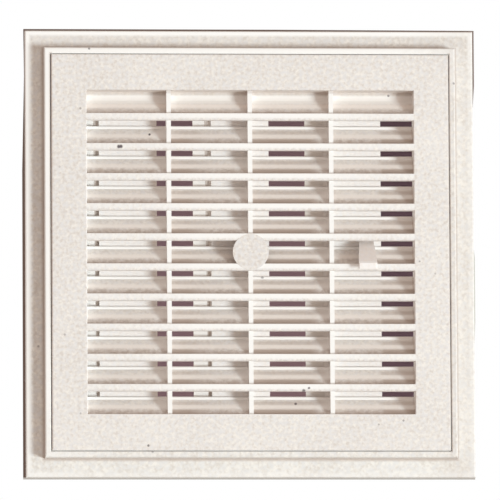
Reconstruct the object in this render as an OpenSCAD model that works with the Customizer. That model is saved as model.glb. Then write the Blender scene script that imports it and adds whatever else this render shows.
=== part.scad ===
// Square wall ventilation grille with fixed louvres and a sliding shutter, sizes in millimetres.
// The wall plane is y = 0, the room is on the -Y side and +Z is up.

/* [Flange] */
// Side of the square flange that lies against the wall
flange_w = 150; // [146:1:170]
// Thickness of the flange
flange_t = 2; // [1.6:0.1:3]
// Flange left showing around the rim
flange_margin = 6.25; // [4:0.25:9]
// Rounding along the front edges of flange, rim and insert
edge_r = 0.5; // [0.2:0.1:0.8]

/* [Rim] */
// Thickness of the raised rim
rim_wall = 2; // [1.6:0.1:3]
// Height of the rim above the flange
rim_h = 4.5; // [4.2:0.1:6]

/* [Duct sleeve] */
// Wall thickness of the square sleeve
sleeve_t = 1.6; // [1.2:0.1:2.2]
// Reach of the sleeve behind the wall plane
sleeve_depth = 15; // [8:1:30]
// Diameter of the four screw holes
screw_hole_d = 4; // [3:0.1:4.6]

/* [Insert] */
// Gap between the insert and the rim
insert_gap = 0.25; // [0.2:0.05:0.6]
// How far the insert stands in front of the rim
insert_out = 0.4; // [0:0.1:0.8]
// Thickness of the insert's front panel
panel_t = 2; // [1.6:0.1:2.2]
// Thickness of the skirt behind the panel's edge
skirt_t = 1.2; // [1:0.1:1.6]
// Panel left between the insert's side and the opening
side_border = 11.85; // [10:0.05:14]
// Thickness of the wall around the louvres
surround_t = 1.2; // [0.8:0.1:1.6]

/* [Louvres] */
// Distance from one louvre to the next
row_pitch = 10.1; // [9:0.05:12]
// Height of a louvre's front lip
lip_h = 2.35; // [1.6:0.05:3]
// Thickness of a louvre's front lip
lip_t = 2; // [1.2:0.1:2.4]
// Rounding of a lip's upper front edge
lip_r = 0.15; // [0.1:0.05:0.4]
// Rounding of its lower front edge
lip_under_r = 0.4; // [0.1:0.05:0.6]
// Depth of the crease between lip and slope
crease = 0.9; // [0.2:0.1:1]
// Clear height between a lip and the louvre below, seen square on
window_h = 1.2; // [1:0.05:3]
// Height of the upright strip along a louvre's back edge
strip_h = 1.05; // [0.5:0.05:1.5]
// Thickness of that strip
strip_t = 0.6; // [0.5:0.1:1]
// Rounding of the strip's upper front edge
strip_r = 0.5; // [0.1:0.1:0.5]
// Thickness of a louvre's blade, measured front to back
blade_t = 1.2; // [1:0.1:1.6]
// Bulge of a louvre's slope
slope_bulge = 0.2; // [0:0.05:0.4]
// Radius where the closed top row's slope runs into its upright back
scoop_r = 5.5; // [2:0.1:6]

/* [Upright bars] */
// Width of an upright bar
bar_w = 1.5; // [1.2:0.1:2.5]
// Distance from one upright bar to the next
bar_pitch = 27.15; // [24:0.05:30]
// Distance of the bars behind the panel's front
bar_recess = 1.3; // [0.5:0.1:1.5]
// Shortest stretch of louvre between a bar and the surround
end_cell = 12; // [8:1:20]

/* [Boss] */
// Diameter of the round boss in the middle
boss_d = 12; // [10:0.1:13]
// Thickness of the boss
boss_t = 1.7; // [1.2:0.1:2.4]
// How far the boss stands in front of the louvres' lips
boss_out = 0.1; // [0.05:0.05:0.4]

/* [Shutter] */
// Width of a slot in the shutter and in the plate behind it
slot_w = 18.2; // [14:0.1:18.4]
// Distance from one slot to the next
slot_pitch = 37.5; // [37:0.1:38.2]
// Distance from the opening's end to the end of the slots
slot_end = 4.5; // [3:0.1:8]
// Thickness of the shutter
shutter_t = 0.9; // [0.8:0.1:1.6]
// Thickness of the slotted plate
plate_t = 1.5; // [1.2:0.1:2.5]
// Running gap round the shutter
run_gap = 0.25; // [0.2:0.05:0.4]
// Reach of the guide hooks over the shutter's edge
hook_reach = 0.95; // [0.8:0.05:1.5]
// Length of a guide hook
hook_l = 12; // [8:1:20]
// Travel of the shutter from fully open, as it stands
shutter_at = 6; // [0:0.05:18.5]

/* [Lug] */
// Reach of the lug in front of the panel
lug_reach = 3.2; // [2.6:0.1:6]
// Thickness of the lug's arm
lug_t = 1.8; // [1.6:0.1:2.6]
// Height of the lug's tip
lug_tip_h = 2.3; // [1.8:0.1:3]
// Drop of the tip below the top of the lip that it passes
lug_drop = 2.2; // [1.5:0.1:3]
// Width of the lug at the shutter
lug_root_w = 4.4; // [3:0.1:5]
// Width of the lug at its tip
lug_tip_w = 6.2; // [5:0.1:7]
// Distance of the lug from the middle of its shutter bar
lug_off = 4.55; // [0:0.05:4.6]
// Gap between the lug's arm and the louvres
lug_gap = 0.4; // [0.3:0.05:0.5]

/* [Hidden] */

cut = 0.1;
arc_steps = 3;
slot_r = 1;

// The square frames, from the outside in
rim_w = flange_w - 2 * flange_margin;
pocket_w = rim_w - 2 * rim_wall;
insert_w = pocket_w - 2 * insert_gap;
skirt_in = insert_w - 2 * skirt_t;
opening_w = insert_w - 2 * side_border;
rows = floor((opening_w + lip_h) / row_pitch);
opening_h = rows * row_pitch - lip_h;
surround_w = opening_w + 2 * surround_t;
surround_h = opening_h + 2 * surround_t;
duct_w = surround_w + 2 * (insert_gap + hook_reach);
sleeve_w = duct_w + 2 * sleeve_t;
screw_at = (sleeve_w + skirt_in) / 4;

// Depths, with the wall plane at 0
rim_y = -(flange_t + rim_h);
front_y = rim_y - insert_out;
panel_y = front_y + panel_t;
bar_y = front_y + bar_recess;
shutter_y = 0.1;
louvre_y = shutter_y - run_gap;
strip_y = louvre_y - strip_t;
shutter_back = shutter_y + shutter_t;
plate_y = shutter_back + run_gap * 2 / 3;
plate_back = plate_y + plate_t;

// Louvre heights, from the middle of the lip
half_lip = lip_h / 2;
strip_top = row_pitch - half_lip - window_h;
slope_top = strip_top - strip_h;
slope_foot = half_lip - crease;
slope_run = strip_y - (front_y + lip_t);
slope_rise = slope_top - slope_foot;
steepness = slope_rise / slope_run;
mid_row = floor((rows + 1) / 2);

// Slots and shutter
slots = floor((duct_w + 4 * run_gap) / slot_pitch);
shutter_bar = slot_pitch - slot_w;
shutter_w = (slots - 1) * slot_pitch + shutter_bar;
shutter_h = duct_w - 2 * run_gap;
slot_h = opening_h - 2 * slot_end;
closed_x = duct_w / 2 - run_gap - shutter_w / 2;
open_x = closed_x - slot_pitch / 2;
shutter_x = open_x + shutter_at;
stop_w = duct_w / 2 + open_x - shutter_w / 2 - run_gap;
lug_x = shutter_x + (slots - 1) / 2 * slot_pitch + lug_off;

// Snap beads on the skirt and their grooves in the rim
bead_l = 24;
bead_r = 0.7;
bead_y = panel_y + 1.2;

frame_white = [0.90, 0.87, 0.84];
warm_white = [0.92, 0.89, 0.86];

// Height of the middle of lip k, counted from the top
function lip_z(k) = row_pitch * (rows / 2 - k);

// Points along an arc, both ends included
function arc(cx, cy, r, from, to, n = arc_steps) =
    [for (i = [0:n]) let (a = from + (to - from) * i / n) [cx + r * cos(a), cy + r * sin(a)]];

// Evenly spaced places about the middle
function spread(n, step) = [for (i = [0:n - 1]) (i - (n - 1) / 2) * step];

// A flat outline in X and Z, from depth y0 to depth y1
module slab(y0, y1) {
    translate([0, y1, 0]) rotate([90, 0, 0]) linear_extrude(y1 - y0) children();
}

// An outline in Y and Z, drawn out along X
module along_x(w) {
    rotate([90, 0, 90]) linear_extrude(w, center = true) children();
}

// An outline in X and Y, drawn out along Z
module along_z(h) {
    linear_extrude(h, center = true) children();
}

// A square slab whose front edges are rounded
module edged_slab(w, y0, y1, r) {
    outline = concat(
        arc(-w / 2 + r, y0 + r, r, 180, 270),
        arc(w / 2 - r, y0 + r, r, 270, 360),
        [[w / 2, y1], [-w / 2, y1]]);
    intersection() {
        along_z(w) polygon(outline);
        along_x(w) polygon([for (p = outline) [p[1], p[0]]]);
    }
}

// A cutter that flares by c over depth d, to break the front edges of an opening
module flare(w, h, y0, c, d) {
    intersection() {
        along_z(h + 2 * c + 2 * d)
            polygon([[-w / 2 - c - cut, y0 - cut], [w / 2 + c + cut, y0 - cut],
                [w / 2, y0 + d], [-w / 2, y0 + d]]);
        along_x(w + 2 * c + 2 * d)
            polygon([[y0 - cut, -h / 2 - c - cut], [y0 - cut, h / 2 + c + cut],
                [y0 + d, h / 2], [y0 + d, -h / 2]]);
    }
}

module slot_outline(w, h) {
    union() {
        square([w - 2 * slot_r, h], center = true);
        square([w, h - 2 * slot_r], center = true);
        for (x = [-1, 1], z = [-1, 1])
            translate([x * (w / 2 - slot_r), z * (h / 2 - slot_r)]) circle(slot_r, $fn = 24);
    }
}

// Hooks along the sleeve's top and bottom, which keep the shutter on its plate
module guide_hooks() {
    for (side = [-1, 1], x = spread(3, duct_w / 3))
        translate([x, 0, side * (duct_w - hook_reach) / 2])
            slab(louvre_y - shutter_t, louvre_y + cut)
                square([hook_l, hook_reach + 2 * cut], center = true);
}

// Blocks at the end of the shutter's way, on the side where it opens
module end_stops() {
    for (z = spread(2, duct_w / 2))
        translate([-duct_w / 2 - cut, 0, z - hook_l / 2])
            slab(shutter_y, plate_y + cut) square([stop_w + cut, hook_l]);
}

// Half-round beads around the skirt, or the grooves that take them
module snap_beads(r, l) {
    for (turn = [0:90:270])
        rotate([0, turn, 0]) translate([0, bead_y, insert_w / 2])
            rotate([0, 90, 0]) cylinder(r = r, h = l, center = true, $fn = 24);
}

module base_frame() {
    color(frame_white) difference() {
        union() {
            edged_slab(flange_w, -flange_t, 0, edge_r);
            edged_slab(rim_w, rim_y, -cut, edge_r);
            slab(-cut, sleeve_depth) square(sleeve_w, center = true);
        }
        slab(rim_y - cut, -flange_t) square(pocket_w, center = true);
        flare(pocket_w, pocket_w, rim_y, edge_r / 2, edge_r / 2);
        slab(-flange_t - cut, plate_y) square(duct_w, center = true);
        slab(plate_back, sleeve_depth + cut) square(duct_w, center = true);
        slab(plate_y - cut, plate_back + cut)
            for (x = spread(slots, slot_pitch))
                translate([closed_x + x, 0]) slot_outline(slot_w, slot_h);
        for (x = [-1, 1], z = [-1, 1])
            translate([x * screw_at, 0, z * screw_at])
                rotate([90, 0, 0]) cylinder(d = screw_hole_d, h = 4 * flange_t, center = true, $fn = 32);
        snap_beads(bead_r + insert_gap / 2, bead_l + 2);
    }
    color(frame_white) guide_hooks();
    color(frame_white) end_stops();
}

// The lug's arm follows the louvres through the window, then comes forward over the lip
module lug() {
    low = lip_z(mid_row);
    c1 = [front_y, low + half_lip];
    c2 = [strip_y, low + strip_top];
    v = (c2 - c1) / norm(c2 - c1);
    n = [-v[1], v[0]];
    rise = v[1] / v[0];
    u1 = c1 + n * lug_gap;
    t1 = c1 + n * (lug_gap + lug_t);
    y_root = shutter_y + cut;
    y_tip = front_y - lug_reach;
    z_tip = c1[1] - lug_drop;
    r = 0.4;
    side = concat(
        [[y_root, u1[1] + (y_root - u1[0]) * rise], u1],
        arc(y_tip + r, z_tip + r, r, 270, 180),
        arc(y_tip + r, z_tip + lug_tip_h - r, r, 180, 120),
        [t1, [y_root, t1[1] + (y_root - t1[0]) * rise]]);
    w0 = lug_root_w / 2;
    w1 = lug_tip_w / 2;
    plan = concat(
        [[w0, y_root], [-w0, y_root]],
        arc(-w1 + r, y_tip + r, r, 180, 270),
        arc(w1 - r, y_tip + r, r, 270, 360));
    translate([lug_x, 0, 0]) intersection() {
        along_x(lug_tip_w + 1) polygon(side);
        along_z(4 * row_pitch) polygon(plan);
    }
}

module shutter() {
    color(warm_white) union() {
        translate([shutter_x, 0, 0]) slab(shutter_y, shutter_back) difference() {
            square([shutter_w, shutter_h], center = true);
            for (x = spread(slots - 1, slot_pitch))
                translate([x, 0]) slot_outline(slot_w, slot_h + 2 * slot_r);
        }
        lug();
    }
}

// One louvre: front lip, crease, slope and the upright strip along its back
module louvre_outline() {
    foot = [front_y + lip_t, slope_foot];
    head = [strip_y, slope_top];
    along = (head - foot) / norm(head - foot);
    out = [-along[1], along[0]];
    slope = [for (i = [0:4]) foot + (head - foot) * i / 4 + out * slope_bulge * sin(45 * i)];
    under_z = slope_top - (blade_t - strip_t) * steepness;
    under_y = louvre_y - (under_z + half_lip) / steepness;
    polygon(concat(
        arc(front_y + lip_under_r, -half_lip + lip_under_r, lip_under_r, 270, 180),
        arc(front_y + lip_r, half_lip - lip_r, lip_r, 180, 90),
        [[front_y + lip_t, half_lip]],
        slope,
        arc(strip_y + strip_r, strip_top - strip_r, strip_r, 180, 90),
        [[louvre_y, strip_top], [louvre_y, under_z], [under_y, -half_lip]]));
}

module louvres() {
    for (k = [1:rows])
        translate([0, 0, lip_z(k)]) along_x(opening_w + surround_t) louvre_outline();
}

// The top row has no window: its slope runs in one curve into an upright back, closed up to the border
module closed_row() {
    turn = 90 - atan(steepness);
    reach = scoop_r * tan(turn / 2);
    foot = [strip_y - reach * sin(turn), slope_top - reach * cos(turn)];
    z1 = surround_h / 2 - lip_z(1);
    translate([0, 0, lip_z(1)]) along_x(opening_w + surround_t)
        polygon(concat(
            [[louvre_y, slope_top], foot],
            arc(strip_y - scoop_r, slope_top + reach, scoop_r, -turn, 0, 6),
            [[strip_y, z1], [louvre_y, z1]]));
}

module upright_bars() {
    bars = 2 * floor((opening_w / 2 - end_cell) / bar_pitch) + 1;
    for (x = spread(bars, bar_pitch))
        translate([x, 0, 0]) slab(bar_y, louvre_y) square([bar_w, opening_h + surround_t], center = true);
}

// Round boss in the middle, across two lips and the row between them
module centre_boss() {
    z = (lip_z(mid_row - 1) + lip_z(mid_row)) / 2;
    translate([0, front_y - boss_out, z])
        rotate([-90, 0, 0]) cylinder(d = boss_d, h = boss_t, $fn = 64);
}

module front_grille() {
    color(warm_white) union() {
        difference() {
            edged_slab(insert_w, front_y, -flange_t, edge_r);
            slab(panel_y, -flange_t + cut) square(skirt_in, center = true);
            slab(front_y - cut, panel_y + cut) square([opening_w, opening_h], center = true);
            flare(opening_w, opening_h, front_y, edge_r / 2, edge_r / 2);
        }
        slab(panel_y - cut, louvre_y) difference() {
            square([surround_w, surround_h], center = true);
            square([opening_w, opening_h], center = true);
        }
        intersection() {
            louvres();
            slab(front_y, louvre_y) square([opening_w + surround_t, surround_h], center = true);
        }
        closed_row();
        upright_bars();
        centre_boss();
        snap_beads(bead_r, bead_l);
    }
}

base_frame();
shutter();
front_grille();
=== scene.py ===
import math

import bmesh
import bpy
from mathutils import Matrix, Vector


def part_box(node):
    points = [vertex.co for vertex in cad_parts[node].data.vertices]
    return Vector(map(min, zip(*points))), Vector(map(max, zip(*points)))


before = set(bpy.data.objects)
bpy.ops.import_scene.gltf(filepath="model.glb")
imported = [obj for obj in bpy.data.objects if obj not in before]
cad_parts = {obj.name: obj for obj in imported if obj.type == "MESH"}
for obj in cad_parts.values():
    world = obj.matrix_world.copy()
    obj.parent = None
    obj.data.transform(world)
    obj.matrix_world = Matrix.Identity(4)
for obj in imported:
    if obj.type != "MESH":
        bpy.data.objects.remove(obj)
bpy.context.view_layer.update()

scene = bpy.context.scene
scene.view_settings.view_transform = "Standard"


# ---- camera: far off on a long lens, a little left of the middle and below it
cameraSet = {
    "azimuth": -3.6,          # degrees, minus is to the left
    "elevation": -6.8,        # degrees, minus is below
    "roll": -0.33,            # degrees
    "distance": 3.5,
    "aim": (0.00015, 0.0, 0.00145),
    "viewWidth": 0.1670,      # what the frame takes in at the aim's distance
    "sensor": 36.0,
    "clip": (0.05, 50.0),
}


def makeCamera(cfg):
    azimuth, elevation = math.radians(cfg["azimuth"]), math.radians(cfg["elevation"])
    back = Vector((math.sin(azimuth) * math.cos(elevation),
                   -math.cos(azimuth) * math.cos(elevation),
                   math.sin(elevation)))
    data = bpy.data.cameras.new("roomCamera")
    data.sensor_width = cfg["sensor"]
    data.lens = cfg["sensor"] * cfg["distance"] / cfg["viewWidth"]
    data.clip_start, data.clip_end = cfg["clip"]
    camera = bpy.data.objects.new("roomCamera", data)
    scene.collection.objects.link(camera)
    turn = (-back).to_track_quat("-Z", "Y").to_matrix().to_4x4()
    turn = turn @ Matrix.Rotation(math.radians(cfg["roll"]), 4, "Z")
    camera.matrix_world = Matrix.Translation(Vector(cfg["aim"]) + back * cfg["distance"]) @ turn
    scene.camera = camera


makeCamera(cameraSet)
print("camera placed")


# ---- light: one large soft lamp from the right and below, and an even pale room
lightSet = {
    "towards": (1.06, -1.0, -0.39),
    "distance": 5.0,
    "size": 1.3,
    "power": 215.0,
    "colour": (0.84, 0.96, 1.0),
    "roomStrength": 0.56,
    "roomColour": (1.0, 0.86, 0.77, 1.0),
    "seenStrength": 1.0,      # what the camera and reflections see of the room
    "seenColour": (1.0, 1.0, 1.0, 1.0),
}


def makeLight(cfg):
    towards = Vector(cfg["towards"]).normalized()
    data = bpy.data.lights.new("softLamp", "AREA")
    data.shape = "SQUARE"
    data.size = cfg["size"]
    data.energy = cfg["power"]
    data.color = cfg["colour"]
    lamp = bpy.data.objects.new("softLamp", data)
    scene.collection.objects.link(lamp)
    lamp.matrix_world = (Matrix.Translation(towards * cfg["distance"])
                         @ (-towards).to_track_quat("-Z", "Y").to_matrix().to_4x4())


def makeRoom(cfg):
    world = bpy.data.worlds.new("room")
    scene.world = world
    world.use_nodes = True
    nodes, links = world.node_tree.nodes, world.node_tree.links
    nodes.clear()
    out = nodes.new("ShaderNodeOutputWorld")
    mix = nodes.new("ShaderNodeMixShader")
    for socket, name in ((1, "room"), (2, "seen")):
        plain = nodes.new("ShaderNodeBackground")
        plain.inputs["Color"].default_value = cfg[name + "Colour"]
        plain.inputs["Strength"].default_value = cfg[name + "Strength"]
        links.new(plain.outputs[0], mix.inputs[socket])
    path = nodes.new("ShaderNodeLightPath")
    last = path.outputs["Is Camera Ray"]
    for ray in ("Is Glossy Ray", "Is Transmission Ray"):
        either = nodes.new("ShaderNodeMath")
        either.operation = "MAXIMUM"
        links.new(last, either.inputs[0])
        links.new(path.outputs[ray], either.inputs[1])
        last = either.outputs[0]
    links.new(last, mix.inputs["Fac"])
    links.new(mix.outputs[0], out.inputs["Surface"])


makeLight(lightSet)
makeRoom(lightSet)
print("light and room made")


# ---- small node helpers, used by the materials below
def newMaterial(name):
    material = bpy.data.materials.new(name)
    material.use_nodes = True
    material.node_tree.nodes.clear()
    return material


def objectCoords(tree):
    return tree.nodes.new("ShaderNodeTexCoord").outputs["Object"]


def axesOf(tree, coords):
    parts = tree.nodes.new("ShaderNodeSeparateXYZ")
    tree.links.new(coords, parts.inputs[0])
    return parts.outputs["X"], parts.outputs["Y"], parts.outputs["Z"]


def noise(tree, coords, scale, detail):
    node = tree.nodes.new("ShaderNodeTexNoise")
    node.inputs["Scale"].default_value = scale
    node.inputs["Detail"].default_value = detail
    tree.links.new(coords, node.inputs["Vector"])
    return node.outputs["Fac"]


def mathNode(tree, operation, first, second=0):
    node = tree.nodes.new("ShaderNodeMath")
    node.operation = operation
    for socket, value in zip(node.inputs, (first, second)):
        if isinstance(value, (int, float)):
            socket.default_value = value
        else:
            tree.links.new(value, socket)
    return node.outputs[0]


def product(tree, *masks):
    result = masks[0]
    for mask in masks[1:]:
        result = mathNode(tree, "MULTIPLY", result, mask)
    return result


def most(tree, *masks):
    result = masks[0]
    for mask in masks[1:]:
        result = mathNode(tree, "MAXIMUM", result, mask)
    return result


def mapRange(tree, value, lowIn, highIn, lowOut, highOut):
    node = tree.nodes.new("ShaderNodeMapRange")
    for name, number in zip(("From Min", "From Max", "To Min", "To Max"),
                            (lowIn, highIn, lowOut, highOut)):
        node.inputs[name].default_value = number
    tree.links.new(value, node.inputs["Value"])
    return node.outputs["Result"]


def band(tree, value, low, high, soft):
    # 1 from low to high, easing off to 0 over soft on either side
    up = mapRange(tree, value, low - soft, low, 0, 1)
    down = mapRange(tree, value, high, high + soft, 1, 0)
    return product(tree, up, down)


def mixColour(tree, share, first, second):
    node = tree.nodes.new("ShaderNodeMix")
    node.data_type = "RGBA"
    tree.links.new(share, node.inputs["Factor"])
    for name, value in (("A", first), ("B", second)):
        socket = [s for s in node.inputs if s.name == name and s.type == "RGBA"][0]
        if isinstance(value, tuple):
            socket.default_value = value
        else:
            tree.links.new(value, socket)
    return [s for s in node.outputs if s.type == "RGBA"][0]


# ---- stage: what stands round the object and isn't part of it
def stageMesh(name, bm, material):
    mesh = bpy.data.meshes.new(name)
    bm.to_mesh(mesh)
    bm.free()
    mesh.materials.append(material)
    piece = bpy.data.objects.new(name, mesh)
    scene.collection.objects.link(piece)
    return piece


def cameraOnly(piece):
    # it neither lights nor shades the grille
    piece.visible_diffuse = False
    piece.visible_glossy = False
    piece.visible_transmission = False
    piece.visible_shadow = False


def oneSidedPaint(tree, colour):
    # seen from the room only, so that the back of the grille stays in view from behind
    out = tree.nodes.new("ShaderNodeOutputMaterial")
    mix = tree.nodes.new("ShaderNodeMixShader")
    paint = tree.nodes.new("ShaderNodeBsdfDiffuse")
    clear = tree.nodes.new("ShaderNodeBsdfTransparent")
    facing = tree.nodes.new("ShaderNodeNewGeometry")
    tree.links.new(colour, paint.inputs["Color"])
    tree.links.new(facing.outputs["Backfacing"], mix.inputs["Fac"])
    tree.links.new(paint.outputs[0], mix.inputs[1])
    tree.links.new(clear.outputs[0], mix.inputs[2])
    tree.links.new(mix.outputs[0], out.inputs["Surface"])


# ---- floor: a round pale floor well below, which keeps a soft shadow
floorSet = {
    "height": -0.5,
    "radius": 0.6,
    "sides": 96,
    "colour": (0.8, 0.79, 0.77, 1.0),
    "glow": 0.55,             # what the camera sees besides the lit floor
}


def floorMaterial(cfg):
    material = newMaterial("paleFloor")
    nodes, links = material.node_tree.nodes, material.node_tree.links
    out = nodes.new("ShaderNodeOutputMaterial")
    add = nodes.new("ShaderNodeAddShader")
    paint = nodes.new("ShaderNodeBsdfDiffuse")
    paint.inputs["Color"].default_value = cfg["colour"]
    glow = nodes.new("ShaderNodeEmission")
    path = nodes.new("ShaderNodeLightPath")
    level = product(material.node_tree, path.outputs["Is Camera Ray"], cfg["glow"])
    links.new(level, glow.inputs["Strength"])
    links.new(paint.outputs[0], add.inputs[0])
    links.new(glow.outputs[0], add.inputs[1])
    links.new(add.outputs[0], out.inputs["Surface"])
    return material


def makeFloor(cfg):
    bm = bmesh.new()
    bmesh.ops.create_circle(bm, cap_ends=True, segments=cfg["sides"], radius=cfg["radius"],
                            matrix=Matrix.Translation((0, 0, cfg["height"])))
    stageMesh("floor", bm, floorMaterial(cfg))


makeFloor(floorSet)


# ---- duct shade: a dark sheet behind the sleeve, painted shade that shows through the open slots
shadeSet = {
    "gap": 0.0004,            # behind the sleeve's end
    "half": 0.0578,           # half its side, between the sleeve's inner and outer faces
    # its painted shade is darker to the right and lighter lower down
    "leftColour": (0.29, 0.215, 0.27, 1.0),
    "rightColour": (0.19, 0.14, 0.19, 1.0),
    "turnAt": (0.025, 0.045), # where along X the tone changes
    "liftAt": (0.045, -0.050),  # from this height down to this one it grows lighter
    "lift": (1.12, 1.5),      # by this much near the top and near the bottom
}


def paintedShadeMaterial(cfg):
    material = newMaterial("paintedDuctShade")
    tree = material.node_tree
    x, y, z = axesOf(tree, objectCoords(tree))
    across = mapRange(tree, x, *cfg["turnAt"], 0, 1)
    tone = tree.nodes.new("ShaderNodeVectorMath")
    tone.operation = "SCALE"
    tree.links.new(mixColour(tree, across, cfg["leftColour"], cfg["rightColour"]), tone.inputs[0])
    tree.links.new(mapRange(tree, z, *cfg["liftAt"], *cfg["lift"]), tone.inputs["Scale"])
    oneSidedPaint(tree, tone.outputs[0])
    return material


def makeShade(cfg):
    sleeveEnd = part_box("base_frame")[1][1]
    bm = bmesh.new()
    bmesh.ops.create_grid(bm, x_segments=1, y_segments=1, size=cfg["half"],
                          matrix=Matrix.Translation((0, sleeveEnd + cfg["gap"], 0))
                          @ Matrix.Rotation(math.radians(90), 4, "X"))
    cameraOnly(stageMesh("paintedDuctShade", bm, paintedShadeMaterial(cfg)))


makeShade(shadeSet)
print("floor and duct shade made")


# ---- wall edge: the narrow strip of wall that shows round the flange, coloured with painted shadow
# on the left, the top and the upper right, and painted lit tones below and down the lower right
wallSet = {
    "behind": 0.0003,         # from the wall plane
    "inner": 0.074,           # half the hole, hidden behind the flange
    "outline": [              # X and Z of its outer edge, corner by corner
        (-0.0759, -0.07555), (-0.0759, 0.028), (-0.0752, 0.060), (-0.0754, 0.0758),
        (0.008, 0.0758), (0.0757, 0.0756), (0.0757, 0.0570), (0.0750, 0.0470),
        (0.0750, 0.0035), (0.0755, -0.0010), (0.0755, -0.0220), (0.0750, -0.0340),
        (0.0750, -0.07555),
    ],
    "litColour": (0.50, 0.47, 0.44, 1.0),       # below the flange
    "shadowColour": (0.24, 0.185, 0.165, 1.0),  # left and top
    "sideColour": (0.60, 0.60, 0.55, 1.0),      # right side, its lower part
    "litTop": (-0.0751, -0.0748),
    "sideFrom": (0.0742, 0.0745),
    "sideTop": (0.030, 0.040),
}


def paintedShadowWallMaterial(cfg):
    material = newMaterial("wallEdge")
    tree = material.node_tree
    x, y, z = axesOf(tree, objectCoords(tree))
    up = mapRange(tree, z, *cfg["litTop"], 0, 1)
    side = product(tree, mapRange(tree, x, *cfg["sideFrom"], 0, 1), up,
                   mapRange(tree, z, *cfg["sideTop"], 1, 0))
    colour = mixColour(tree, up, cfg["litColour"], cfg["shadowColour"])
    oneSidedPaint(tree, mixColour(tree, side, colour, cfg["sideColour"]))
    return material


def makeWallEdge(cfg):
    half = cfg["inner"]
    inside = [[max(-half, min(half, number)) for number in corner] for corner in cfg["outline"]]
    bm = bmesh.new()
    loops = []
    for outline in (cfg["outline"], inside):
        ring = [bm.verts.new((x, cfg["behind"], z)) for x, z in outline]
        loops += [bm.edges.new(pair) for pair in zip(ring, ring[1:] + ring[:1])]
    bmesh.ops.bridge_loops(bm, edges=loops)
    bm.normal_update()
    for face in bm.faces:
        if face.normal.y > 0:
            face.normal_flip()
    cameraOnly(stageMesh("wallEdge", bm, paintedShadowWallMaterial(cfg)))


makeWallEdge(wallSet)
print("wall edge made")


# ---- moulded plastic: off-white, satin, finely mottled, with a few specks of dirt
plasticSet = {
    "base_frame": {
        "colour": (0.91, 0.87, 0.816, 1.0),
        "shade": (0.73, 0.68, 0.628, 1.0),
        "tint": (0.80, 0.785, 0.775, 1.0),
        "roughness": (0.42, 0.56),
        "specks": [           # x, z and radius in mm, and how dark
            (-70.8, -31.2, 0.4, 0.45), (68.3, 56.9, 0.4, 0.6), (-33.1, -66.9, 0.45, 0.45),
            (-53.7, 68.3, 0.4, 0.75),
        ],
    },
    "front_grille": {
        "colour": (0.898, 0.848, 0.794, 1.0),
        "shade": (0.712, 0.648, 0.597, 1.0),
        "tint": (0.79, 0.765, 0.76, 1.0),
        "roughness": (0.44, 0.58),
        "specks": [
            (-56.7, 48.1, 0.4, 0.5), (-63.7, 28.5, 0.4, 0.28), (46.8, 53.4, 0.4, 0.75),
            (-34.5, -64.9, 0.42, 0.85), (-62.2, -27.8, 0.4, 0.4), (-57.0, -54.2, 0.35, 0.4),
            (4.2, -7.9, 0.5, 0.6), (17.4, -46.5, 0.55, 0.85), (19.1, -45.6, 0.4, 0.9),
            (15.0, -50.4, 0.45, 0.9), (56.4, -3.1, 0.35, 0.5), (61.6, -7.2, 0.35, 0.4),
            (42.3, -57.8, 0.35, 0.45), (50.6, -56.5, 0.35, 0.6), (-43.9, 35.3, 0.62, 1.0),
            (-43.2, 35.35, 0.62, 1.0), (-33.4, 40.0, 0.4, 1.0),
        ],
    },
    "shutter": {
        "colour": (0.97, 0.915, 0.875, 1.0),
        "shade": (0.91, 0.845, 0.80, 1.0),
        "tint": (0.93, 0.895, 0.885, 1.0),
        "roughness": (0.42, 0.55),
        "specks": [],
    },
}
grainSet = {
    "cloudScale": 38.0,       # broad, faint changes of tone
    "cloudDetail": 3,
    "mottleScale": 860.0,     # the fine mottle
    "mottleDetail": 4,
    "mottleShare": 0.75,
    "shadeRange": (0.41, 0.61),
    "tintScale": 740.0,
    "tintDetail": 2,
    "tintRange": (0.4, 0.65),
    "tintShare": 0.8,
    "roughRange": (0.3, 0.7),
    "grainScale": 2600.0,     # the bump
    "grainDetail": 2,
    "grainDepth": 0.00006,
    "grainStrength": 0.25,
}
speckSet = {
    "colour": (0.055, 0.032, 0.040, 1.0),
    "share": 0.92,
    "fade": (1.25, 0.6),      # from this many radii the dirt grows to full at this many
    "raggedScale": 1720.0,
    "raggedDetail": 2,
    "ragged": 0.0004,         # how uneven the edges are
}


# ---- painted light and shade, in metres: lighter patches are painted light and highlights,
# darker ones painted shade. A patch is given as low, high and soft, and an edge as where it starts
# and where it ends.
# Each function gives masks and their colours, which are laid on in that order.
# the colour of painted light and highlights, and that of painted shade
paintedLightColour = (0.975, 0.955, 0.93, 1.0)
paintedShadeColour = (0.50, 0.40, 0.34, 1.0)

jointSet = {                  # the joint between the insert and the rim
    # the joint's left and right sides are darkened as painted shade
    "leftSide": (-0.0662, -0.0660),
    "leftShare": 0.5,
    "leftHeights": (-0.045, -0.010),  # from here the painted shade on the left grows to full here
    "leftLeast": 0.1,
    "rightSide": (0.0660, 0.0662),
    "rightShare": 0.45,
    # the walls inside the joint above and below the insert are painted lighter as painted light
    "wallHeights": (0.0664, 0.0668, 0.00005),
    "wallEnd": (0.0668, 0.0669),
    "wallDepth": (-0.0067, -0.0064),
    "wallColour": (1.0, 0.985, 0.965, 1.0),
}


def absolute(tree, value):
    return mathNode(tree, "ABSOLUTE", value)


def farOut(tree, x, z):
    # how far out on a square about the centre
    return most(tree, absolute(tree, x), absolute(tree, z))


def jointShade(tree, x, z, cfg):
    # painted shade along the left and right sides, none above or below
    left = product(tree, mapRange(tree, x, *cfg["leftSide"], cfg["leftShare"], 0),
                   mapRange(tree, z, *cfg["leftHeights"], cfg["leftLeast"], 1))
    return most(tree, left, mapRange(tree, x, *cfg["rightSide"], 0, cfg["rightShare"]))


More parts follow.
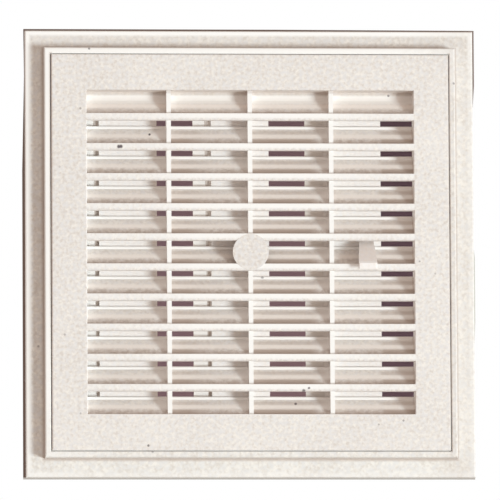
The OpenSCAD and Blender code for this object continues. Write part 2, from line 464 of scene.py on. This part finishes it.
def jointWallLight(tree, x, y, z, cfg):
    # the faces inside the joint above and below the insert, painted lighter as painted light
    return product(tree, band(tree, absolute(tree, z), *cfg["wallHeights"]),
                   mapRange(tree, absolute(tree, x), *cfg["wallEnd"], 1, 0),
                   mapRange(tree, y, *cfg["wallDepth"], 0, 1))


# the louvre panel
louvreSet = {
    "cellsAcross": (-0.0548, 0.0548, 0.0001),
    "cellsUp": (-0.0546, 0.0546, 0.0001),
    "rowPitch": 0.0101,
    "rowStart": 0.00387,      # lower edge of the first lip above the centre
    "lipHalf": 0.00118,
    "lowerRows": (0.0472, 0.0473),  # the rows below the closed top one end here
    # the upright strips, painted lighter as a painted highlight
    "stripDepth": (-0.00085, -0.0002, 0.0001),
    "stripRise": (0.0066, 0.0085, 0.0002),
    "stripRows": (0.0480, 0.0481),
    "stripShare": 1.0,
    # the bars' fronts, painted lighter as a painted highlight
    "barPitch": 0.02715,
    "barDepth": (-0.0057, -0.0055, 0.00005),
    "barEdge": (0.00078, 0.00088),
    "barShare": 0.85,
    # the lips' fronts, painted lighter as a painted highlight, most in the middle; the boss stands
    # a little further forward and keeps its own colour
    "lipDepth": (-0.0066, -0.0063),
    "bossDepth": (-0.00698, -0.00694),
    "lipRise": (-0.0002, 0.0013, 0.0006),
    "lipMiddle": (-0.018, 0.024, 0.018),
    "lipShare": (0.45, 0.85), # at the ends and in the middle
    # the closed top row, its upper part painted lighter as painted light
    "topRise": (0.0509, 0.0530, 0.0008),
    "topDepth": (-0.0060, -0.0002, 0.0002),
    "topShare": 0.85,
    # the slopes, painted lighter along the middle as painted light
    "slopeDepth": (-0.0052, -0.0009, 0.0003),
    "middleRise": (0.0036, 0.0044, 0.0006),
    "slopeShare": (0.3, 0.85),
    "slopeColour": (0.965, 0.89, 0.83, 1.0),
    # to the left of a bar it is painted lighter, painted light that lifts the bar's shadow, in
    # parts of a cell's width
    "cellDepth": (-0.0052, -0.0002, 0.0003),
    "nearBar": (0.80, 0.87),
    "nearShare": 0.9,
    "nearColour": (1.0, 0.97, 0.94, 1.0),
    # painted shade in the creases above the lips
    "unevenScale": 700.0,
    "unevenDetail": 2,
    "unevenRange": (0.35, 0.65),
    "creaseRise": (0.0010, 0.0026, 0.0012),
    "creaseShare": (0.3, 0.7),
    "topCreaseShare": 0.65,
    # painted shade along the opening's top edge
    "topEdgeRise": (0.0538, 0.0560, 0.0007),
    "topEdgeDepth": (-0.0068, -0.0066),
    "topEdgeEnd": (0.0552, 0.0554),
    "topEdgeShare": 0.42,
    # painted shade beside the open parts of the slots: where it begins, is full, fades and ends
    "openSlotAt": ((-0.0277, -0.0272, -0.0210, -0.0080), (0.0002, 0.0012, 0.0200, 0.0260),
              (0.0425, 0.0445, 0.0550, 0.0560)),
    "openSlotUnderStrip": (0.0050, 0.0057, 0.0006),
    "openSlotUnderStripShare": 0.45,
    "openSlotCrease": (0.0012, 0.0028, 0.0007),
    "openSlotCreaseShare": 0.9,
    # painted shade to the right of a bar, in parts of a cell's width
    "besideBar": (0.02, 0.25),
    "besideFrom": (-0.02725, -0.02715),
    "besideShare": 0.18,
    # painted shade on the insert's edge in the joint
    "joint": (0.0661, 0.0666, 0.0001),
    "jointDepth": (-0.0067, -0.0065),
}


def rowRise(tree, z, cfg):
    # height above the middle of the lip below, the same in every row
    turns = mathNode(tree, "DIVIDE", mathNode(tree, "SUBTRACT", z, cfg["rowStart"]),
                     cfg["rowPitch"])
    rise = product(tree, mathNode(tree, "FRACT", turns), cfg["rowPitch"])
    return mathNode(tree, "SUBTRACT", rise, cfg["lipHalf"])


def louvreHighlights(tree, x, y, z, rise, cfg):
    # painted highlights on the strips, bars and lips, and painted light on the closed top row
    strip = product(tree, band(tree, y, *cfg["stripDepth"]), band(tree, rise, *cfg["stripRise"]),
                    mapRange(tree, z, *cfg["stripRows"], 1, 0), cfg["stripShare"])
    offBar = mathNode(tree, "PINGPONG", x, cfg["barPitch"] / 2)
    bar = product(tree, band(tree, y, *cfg["barDepth"]),
                  mapRange(tree, offBar, *cfg["barEdge"], 1, 0), cfg["barShare"])
    lip = product(tree, mapRange(tree, y, *cfg["lipDepth"], 1, 0),
                  mapRange(tree, y, *cfg["bossDepth"], 0, 1), band(tree, rise, *cfg["lipRise"]),
                  mapRange(tree, band(tree, x, *cfg["lipMiddle"]), 0, 1, *cfg["lipShare"]))
    top = product(tree, band(tree, z, *cfg["topRise"]), band(tree, y, *cfg["topDepth"]),
                  cfg["topShare"])
    return most(tree, strip, bar, lip, top)


def openSlotShade(tree, x, rise, cfg):
    # painted shade under the strips and in the creases beside the open slots
    stretches = [product(tree, mapRange(tree, x, begins, full, 0, 1),
                         mapRange(tree, x, fades, ends, 1, 0))
                 for begins, full, fades, ends in cfg["openSlotAt"]]
    underStrip = product(tree, band(tree, rise, *cfg["openSlotUnderStrip"]), cfg["openSlotUnderStripShare"])
    crease = product(tree, band(tree, rise, *cfg["openSlotCrease"]), cfg["openSlotCreaseShare"])
    return product(tree, most(tree, *stretches), most(tree, underStrip, crease))


def louvrePaintedTones(tree, coords, cfg):
    x, y, z = axesOf(tree, coords)
    rise = rowRise(tree, z, cfg)
    cells = product(tree, band(tree, x, *cfg["cellsAcross"]), band(tree, z, *cfg["cellsUp"]))
    lowerRows = mapRange(tree, z, *cfg["lowerRows"], 1, 0)
    along = mathNode(tree, "FRACT", mathNode(tree, "DIVIDE", x, cfg["barPitch"]))
    inCell = product(tree, cells, band(tree, y, *cfg["cellDepth"]), lowerRows)
    slope = product(tree, cells, band(tree, y, *cfg["slopeDepth"]))

    highlights = product(tree, louvreHighlights(tree, x, y, z, rise, cfg), cells)
    # painted light along the middle of the slopes
    middle = mapRange(tree, band(tree, rise, *cfg["middleRise"]), 0, 1, *cfg["slopeShare"])
    # painted light lifting the bars' shadows on the slopes
    near = product(tree, inCell, mapRange(tree, along, *cfg["nearBar"], 0, cfg["nearShare"]))

    uneven = mapRange(tree, noise(tree, coords, cfg["unevenScale"], cfg["unevenDetail"]),
                      *cfg["unevenRange"], *cfg["creaseShare"])
    # uneven painted shade in the creases above the lips
    crease = product(tree, slope, band(tree, rise, *cfg["creaseRise"]), uneven,
                     mapRange(tree, z, *cfg["lowerRows"], 1, cfg["topCreaseShare"]))
    # painted shade along the opening's top edge
    topEdge = product(tree, band(tree, z, *cfg["topEdgeRise"]),
                      mapRange(tree, y, *cfg["topEdgeDepth"], 0, 1),
                      mapRange(tree, absolute(tree, x), *cfg["topEdgeEnd"],
                               cfg["topEdgeShare"], 0))
    openSlotShaded = product(tree, slope, openSlotShade(tree, x, rise, cfg), lowerRows)
    # painted shade to the right of each bar
    beside = product(tree, inCell, mapRange(tree, along, *cfg["besideBar"], cfg["besideShare"], 0),
                     mapRange(tree, x, *cfg["besideFrom"], 0, 1))
    # painted shade on the insert's edge in the joint
    joint = product(tree, band(tree, farOut(tree, x, z), *cfg["joint"]),
                    jointShade(tree, x, z, jointSet), mapRange(tree, y, *cfg["jointDepth"], 1, 0))
    return ((highlights, paintedLightColour),
            (product(tree, slope, middle), cfg["slopeColour"]),
            (near, cfg["nearColour"]),
            (most(tree, crease, topEdge, openSlotShaded, beside, joint), paintedShadeColour),
            (jointWallLight(tree, x, y, z, jointSet), jointSet["wallColour"]))


# the flange, the rim and the slotted plate
rimSet = {
    # the rim's front and the flange's outer edge are painted lighter towards the upper left as a
    # painted highlight
    "corners": (-0.02, 0.02), # from the upper left to the lower right, in X minus Z
    "topDepth": (-0.0064, -0.0061),
    "highlightShare": (0.86, 0.0),  # the rim's front, at the upper left and at the lower right
    "edge": (0.0728, 0.0738), # the flange's outer edge
    "edgeShare": (1.0, 0.3),  # at the upper left and at the lower right
    # painted shade in the corner at the rim's foot
    "foot": (0.06855, 0.06905, 0.0009),
    "footDepth": (-0.0024, -0.0018, 0.0004),
    "footShare": 0.75,
    # thin painted shade on the flange down the right side and along the top
    "veilRight": (0.060, 0.068),
    "veilRightShare": 0.16,
    "veilTop": (0.0675, 0.0695),
    "veilTopShare": 0.20,
    # a painted shadow line along the flange's top edge
    "topLine": (0.0746, 0.0748),
    "topLineShare": 0.6,
    # the slotted plate, its front painted lighter as painted light
    "plateDepth": (0.0, 0.0004),
    "plateEnd": (0.0560, 0.0565),
    "plateShare": 0.9,
    "plateColour": (0.99, 0.94, 0.90, 1.0),
    # lines of painted shadow on it beside the shutter's bars, which lean a little
    "stripesAt": ((-0.0517, -0.0504, 0.0003), (-0.0145, -0.0137, 0.0003)),
    "stripeLean": 0.0107,
    "stripeCentre": 0.020,    # the height at which they stand where stripesAt says
    "stripeShare": 0.7,
    # painted shade on the rim's edge in the joint
    "joint": (0.0667, 0.0671, 0.0001),
}


def plateStripes(tree, x, z, cfg):
    lean = product(tree, mathNode(tree, "SUBTRACT", z, cfg["stripeCentre"]), cfg["stripeLean"])
    beside = mathNode(tree, "ADD", x, lean)
    return most(tree, *[band(tree, beside, *stripe) for stripe in cfg["stripesAt"]])


def rimPaintedTones(tree, coords, cfg):
    x, y, z = axesOf(tree, coords)
    far = farOut(tree, x, z)
    corners = mathNode(tree, "SUBTRACT", x, z)
    onTop = mapRange(tree, y, *cfg["topDepth"], 1, 0)
    # painted highlight on the rim's front and the flange's edge, strongest at the upper left
    rim = product(tree, mapRange(tree, corners, *cfg["corners"], *cfg["highlightShare"]), onTop)
    edge = product(tree, mapRange(tree, far, *cfg["edge"], 0, 1),
                   mapRange(tree, corners, *cfg["corners"], *cfg["edgeShare"]))

    # painted shade in the corner at the rim's foot
    foot = product(tree, band(tree, far, *cfg["foot"]), band(tree, y, *cfg["footDepth"]),
                   cfg["footShare"])
    # thin painted shade down the right side and along the top, and a painted shadow line on the
    # top edge
    veil = most(tree, mapRange(tree, x, *cfg["veilRight"], 0, cfg["veilRightShare"]),
                mapRange(tree, z, *cfg["veilTop"], 0, cfg["veilTopShare"]))
    veil = product(tree, veil, mathNode(tree, "SUBTRACT", 1, edge))
    # painted light on the slotted plate's front
    plate = product(tree, mapRange(tree, y, *cfg["plateDepth"], 0, 1),
                    mapRange(tree, far, *cfg["plateEnd"], 1, 0))
    # painted shadow beside the shutter's bars
    stripe = product(tree, plate, plateStripes(tree, x, z, cfg), cfg["stripeShare"])
    joint = product(tree, band(tree, far, *cfg["joint"]), jointShade(tree, x, z, jointSet), onTop)
    topLine = mapRange(tree, z, *cfg["topLine"], 0, cfg["topLineShare"])
    return ((most(tree, rim, edge), paintedLightColour),
            (product(tree, plate, cfg["plateShare"]), cfg["plateColour"]),
            (most(tree, foot, veil, stripe, joint, topLine), paintedShadeColour),
            (jointWallLight(tree, x, y, z, jointSet), jointSet["wallColour"]))


# the shutter's lug, its arm painted darker as painted shade
lugSet = {
    "armDepth": (-0.0092, -0.0015, 0.0005),
    "paintedShadeShare": 0.2,
    "paintedShadeColour": (0.60, 0.46, 0.38, 1.0),
}


def lugPaintedShade(tree, coords, cfg):
    x, y, z = axesOf(tree, coords)
    # painted shade on the lug's arm
    arm = band(tree, y, *cfg["armDepth"])
    return ((product(tree, arm, cfg["paintedShadeShare"]), cfg["paintedShadeColour"]),)


# which function lays painted light and shade on each part
paintedTones = {"front_grille": (louvrePaintedTones, louvreSet), "base_frame": (rimPaintedTones, rimSet),
        "shutter": (lugPaintedShade, lugSet)}


def speckMask(tree, coords, specks, cfg):
    # each speck is a spot seen from the front, its edge made uneven by a fine noise
    flat = tree.nodes.new("ShaderNodeVectorMath")
    flat.operation = "MULTIPLY"
    flat.inputs[1].default_value = (1, 0, 1)
    tree.links.new(coords, flat.inputs[0])
    uneven = noise(tree, coords, cfg["raggedScale"], cfg["raggedDetail"])
    ragged = product(tree, mathNode(tree, "SUBTRACT", uneven, 0.5), cfg["ragged"])
    spots = []
    for inMillimetres in specks:
        x, z, radius = [number / 1000 for number in inMillimetres[:3]]
        away = tree.nodes.new("ShaderNodeVectorMath")
        away.operation = "DISTANCE"
        away.inputs[1].default_value = (x, 0, z)
        tree.links.new(flat.outputs[0], away.inputs[0])
        edge = mathNode(tree, "ADD", away.outputs["Value"], ragged)
        fadeFrom, fadeTo = [radius * turn for turn in cfg["fade"]]
        spots.append(mapRange(tree, edge, fadeFrom, fadeTo, 0, inMillimetres[3]))
    return most(tree, *spots)


def mouldedPlastic(name, look, cfg):
    material = newMaterial(name + "Plastic")
    tree = material.node_tree
    out = tree.nodes.new("ShaderNodeOutputMaterial")
    plastic = tree.nodes.new("ShaderNodeBsdfPrincipled")
    coords = objectCoords(tree)
    cloud = noise(tree, coords, cfg["cloudScale"], cfg["cloudDetail"])
    mottle = noise(tree, coords, cfg["mottleScale"], cfg["mottleDetail"])
    patch = mathNode(tree, "ADD", product(tree, cloud, 1 - cfg["mottleShare"]),
                     product(tree, mottle, cfg["mottleShare"]))
    share = mapRange(tree, patch, *cfg["shadeRange"], 0, 1)
    colour = mixColour(tree, share, look["colour"], look["shade"])
    hue = mapRange(tree, noise(tree, coords, cfg["tintScale"], cfg["tintDetail"]),
                   *cfg["tintRange"], 0, cfg["tintShare"])
    colour = mixColour(tree, hue, colour, look["tint"])
    # the painted light, highlights and shade are laid on here
    makePaintedTones, paintedTonesCfg = paintedTones[name]
    for mask, tone in makePaintedTones(tree, coords, paintedTonesCfg):
        colour = mixColour(tree, mask, colour, tone)
    if look["specks"]:
        mask = product(tree, speckMask(tree, coords, look["specks"], speckSet),
                       speckSet["share"])
        colour = mixColour(tree, mask, colour, speckSet["colour"])
    tree.links.new(colour, plastic.inputs["Base Color"])
    rough = mapRange(tree, mottle, *cfg["roughRange"], *look["roughness"])
    tree.links.new(rough, plastic.inputs["Roughness"])
    grain = noise(tree, coords, cfg["grainScale"], cfg["grainDetail"])
    bump = tree.nodes.new("ShaderNodeBump")
    bump.inputs["Strength"].default_value = cfg["grainStrength"]
    bump.inputs["Distance"].default_value = cfg["grainDepth"]
    tree.links.new(grain, bump.inputs["Height"])
    tree.links.new(bump.outputs["Normal"], plastic.inputs["Normal"])
    tree.links.new(plastic.outputs[0], out.inputs["Surface"])
    return material


for nodeName, look in plasticSet.items():
    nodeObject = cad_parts[nodeName]
    material = mouldedPlastic(nodeName, look, grainSet)
    for slot in nodeObject.material_slots:
        slot.material = material
    print("plastic given to", nodeName)
